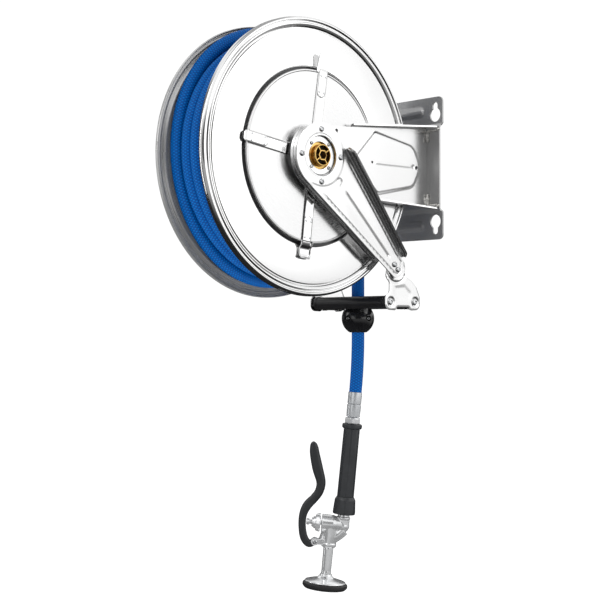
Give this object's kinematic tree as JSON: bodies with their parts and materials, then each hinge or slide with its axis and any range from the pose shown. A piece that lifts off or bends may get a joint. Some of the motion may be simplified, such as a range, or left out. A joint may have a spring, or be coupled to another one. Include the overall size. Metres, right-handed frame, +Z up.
{
  "type": "wall mounted hose reel",
  "caption": "Open stainless hose reel on a wall bracket: spring-rewound drum with blue hose, roller guide, stop ball and hand spray gun.",
  "frame": {"origin": "centre of the wall plate, in the plane of its back face", "axes": "+Y into the wall, +Z up, +X along the drum axle towards the water inlet"},
  "size_m": [0.223, 0.4729, 0.9116],
  "materials": {
    "stainless_brushed": "satin brushed",
    "stainless_bright": "bright polished stainless",
    "machined_steel": "machined",
    "steel_screws": "bright",
    "spring_steel": "oiled",
    "spring_case_steel": "satin black",
    "brass": "machined",
    "seal_rubber": "matte",
    "bush_plastic": "natural",
    "hose_blue": "satin, fine diagonal braid",
    "roller_plastic": "satin",
    "ball_rubber": "glossy",
    "zinc_ferrule": "zinc plated",
    "gun_chrome": "bright chrome plate",
    "grip_rubber": "satin dark grey",
    "lever_coating": "satin dipped coating"
  },
  "bodies": {
    "bracket": {"wall_plate": "stainless_brushed", "support_arm_near": "stainless_brushed", "support_arm_far": "stainless_brushed", "guide_arm_near": "stainless_brushed", "guide_arm_far": "stainless_brushed", "roller_end_plate_near": "stainless_brushed", "roller_end_plate_far": "stainless_brushed", "hub_journal_near": "machined_steel", "hub_journal_far": "machined_steel", "hub_spacers": "machined_steel", "bracket_screws": "steel_screws", "swivel_flange": "stainless_bright", "swivel_screws": "steel_screws", "inlet_swivel": "brass", "swivel_seals": "seal_rubber", "roller_pins": "machined_steel", "pawl_pin": "machined_steel", "pawl_spring": "spring_steel"},
    "drum": {"drum_disc_near": "stainless_bright", "drum_disc_far": "stainless_bright", "drum_core": "stainless_bright", "drum_cap_near": "stainless_bright", "drum_cap_far": "stainless_bright", "drum_bushes": "bush_plastic", "clamp_straps": "stainless_bright", "strap_end_plates": "stainless_bright", "strap_rivets": "stainless_bright", "disc_clips": "stainless_bright", "spring_case": "spring_case_steel", "spring_cover": "spring_case_steel", "power_spring": "spring_steel", "ratchet_wheel": "machined_steel", "swivel_stem": "brass", "feed_hose": "hose_blue", "hose_coil": "hose_blue"},
    "pawl": {"pawl": "machined_steel"},
    "long_roller_room": {"long_roller_room": "roller_plastic"},
    "long_roller_wall": {"long_roller_wall": "roller_plastic"},
    "short_roller_near": {"short_roller_near": "roller_plastic"},
    "short_roller_far": {"short_roller_far": "roller_plastic"},
    "hose_end": {"hose_run": "hose_blue", "hose_tail": "hose_blue", "stop_ball_front": "ball_rubber", "stop_ball_back": "ball_rubber", "ball_screws": "steel_screws", "hose_ferrule": "zinc_ferrule", "swivel_nut": "machined_steel"},
    "gun": {"grip_collar": "grip_rubber", "gun_tube": "gun_chrome", "gun_grip": "grip_rubber", "grip_cap": "grip_rubber", "valve_body": "gun_chrome", "valve_bonnet": "gun_chrome", "valve_spring": "spring_steel", "lever_pin": "machined_steel", "spray_tube": "gun_chrome", "spray_head": "gun_chrome", "spray_head_ring": "seal_rubber"},
    "lever": {"gun_lever": "lever_coating"},
    "plunger": {"valve_plunger": "gun_chrome"}
  },
  "joints": [
    {"name": "drum_spin", "type": "hinge", "parent": "bracket", "child": "drum", "pos_m": [0, -0.258, 0], "axis": [-1, 0, 0], "range_deg": [0, 360]},
    {"name": "pawl_tilt", "type": "hinge", "parent": "bracket", "child": "pawl", "pos_m": [0, -0.17, -0.034], "axis": [-1, 0, 0], "range_deg": [0, 11]},
    {"name": "long_roller_room_spin", "type": "hinge", "parent": "bracket", "child": "long_roller_room", "pos_m": [0, -0.1055, -0.2215], "axis": [1, 0, 0], "continuous": true},
    {"name": "long_roller_wall_spin", "type": "hinge", "parent": "bracket", "child": "long_roller_wall", "pos_m": [0, -0.0495, -0.2215], "axis": [1, 0, 0], "continuous": true},
    {"name": "short_roller_near_spin", "type": "hinge", "parent": "bracket", "child": "short_roller_near", "pos_m": [0.076, -0.0775, -0.2265], "axis": [0, 1, 0], "continuous": true},
    {"name": "short_roller_far_spin", "type": "hinge", "parent": "bracket", "child": "short_roller_far", "pos_m": [-0.076, -0.0775, -0.2265], "axis": [0, 1, 0], "continuous": true},
    {"name": "hose_pull", "type": "slide", "parent": "bracket", "child": "hose_end", "axis": [0, 0, -1], "range_m": [0, 1.14], "deforming": ["hose_run"]},
    {"name": "gun_swivel", "type": "hinge", "parent": "hose_end", "child": "gun", "pos_m": [-0.02211, -0.0848, -0.42504], "axis": [-0.0643, -0.071, -0.9954], "continuous": true},
    {"name": "lever_squeeze", "type": "hinge", "parent": "gun", "child": "lever", "pos_m": [-0.06388, -0.13093, -0.61545], "axis": [0.7413, -0.6712, 0], "range_deg": [-10, 0]},
    {"name": "plunger_push", "type": "slide", "parent": "gun", "child": "plunger", "axis": [0.6681, 0.7379, -0.0958], "range_m": [0, 0.0056]}
  ],
  "couplings": [
    {"joint": "hose_pull", "follows": "drum_spin", "m_per_rad": 0.1805},
    {"joint": "plunger_push", "follows": "lever_squeeze", "m_per_rad": -0.0315}
  ]
}
